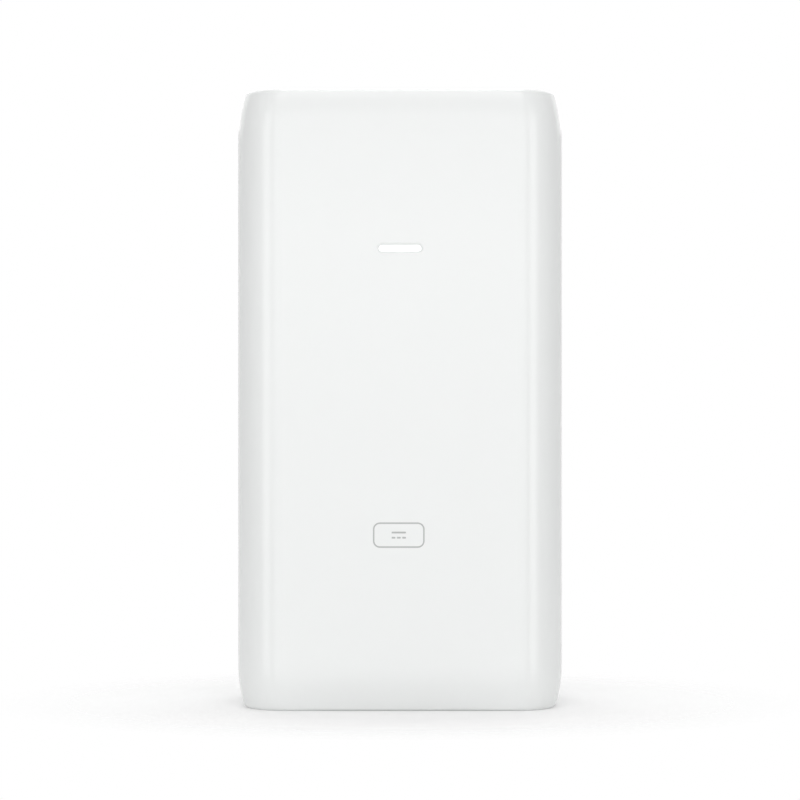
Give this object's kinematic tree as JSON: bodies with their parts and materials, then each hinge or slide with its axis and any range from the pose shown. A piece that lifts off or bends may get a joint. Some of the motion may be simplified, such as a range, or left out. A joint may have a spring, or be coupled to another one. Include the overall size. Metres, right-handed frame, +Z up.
{
  "type": "power over ethernet injector",
  "caption": "Small upright white mains-to-network power injector: mains inlet in its top end, data jack and powered jack in its bottom end, slide-on wall bracket behind.",
  "frame": {"origin": "middle of the bottom end, on which the case stands", "axes": "+Z up the long axis from the jacks to the mains inlet, front faces -Y, wall bracket faces +Y, +X to the right seen from the front"},
  "size_m": [0.046, 0.0286, 0.0872],
  "materials": {
    "shell_white": "glossy white moulding",
    "bracket_white": "fine-grained white moulding",
    "screw_steel": "zinc-plated",
    "label_foil": "plain foil, bare",
    "lens_white": "milky, lets light through",
    "board_green": "green solder mask",
    "insulating_film": "clear polyester film",
    "jack_plastic": "black moulding",
    "shield_steel": "nickel-plated sheet",
    "contact_gold": "gold-plated spring wire",
    "inlet_plastic": "black moulding",
    "pin_nickel": "nickel-plated brass",
    "epoxy_black": "moulded epoxy",
    "epoxy_white": "moulded epoxy",
    "fuse_brown": "moulded box",
    "box_yellow": "potted plastic box",
    "led_white": "diffusing resin",
    "can_sleeve": "shrunk sleeve on an aluminium can",
    "disc_blue": "dipped resin",
    "ferrite": "sintered, dull",
    "copper_wire": "enamelled copper",
    "sink_aluminium": "plain sheet",
    "bobbin_black": "phenolic",
    "winding_tape": "polyester tape",
    "chip_ceramic": "fired ceramic"
  },
  "bodies": {
    "case": {"front_shell": "shell_white", "rear_shell": "shell_white", "case_screws": "screw_steel", "rating_label": "label_foil", "light_pipe": "lens_white", "main_board": "board_green", "insulating_sheet": "insulating_film", "data_port_housing": "jack_plastic", "data_port_shield": "shield_steel", "power_port_housing": "jack_plastic", "power_port_shield": "shield_steel", "inlet_housing": "inlet_plastic", "inlet_pins": "pin_nickel", "line_transformer": "epoxy_black", "port_controller": "epoxy_black", "output_rectifier": "epoxy_black", "optocoupler": "epoxy_white", "bridge_rectifier": "epoxy_black", "fuse": "fuse_brown", "x_capacitor": "box_yellow", "status_led": "led_white", "output_capacitors": "can_sleeve", "bulk_capacitor": "can_sleeve", "y_capacitor": "disc_blue", "varistor": "disc_blue", "choke_core": "ferrite", "choke_windings": "copper_wire", "heat_sink": "sink_aluminium", "switching_transistor": "epoxy_black", "transformer_core": "ferrite", "transformer_bobbin": "bobbin_black", "transformer_winding": "winding_tape", "chip_parts": "chip_ceramic"},
    "bracket": {"wall_bracket": "bracket_white"},
    "data_contacts": {"data_port_contacts": "contact_gold"},
    "power_contacts": {"power_port_contacts": "contact_gold"}
  },
  "joints": [
    {"name": "bracket_slide", "type": "slide", "parent": "case", "child": "bracket", "axis": [0, 0, -1], "range_m": [0, 0.061]},
    {"name": "data_contacts_flex", "type": "hinge", "parent": "case", "child": "data_contacts", "pos_m": [-0.00875, -0.0041, 0.0036], "axis": [1, 0, 0], "range_deg": [0, 13], "stiffness_Nm_per_rad": 0.15},
    {"name": "power_contacts_flex", "type": "hinge", "parent": "case", "child": "power_contacts", "pos_m": [0.00875, -0.0041, 0.0036], "axis": [1, 0, 0], "range_deg": [0, 13], "stiffness_Nm_per_rad": 0.15}
  ]
}
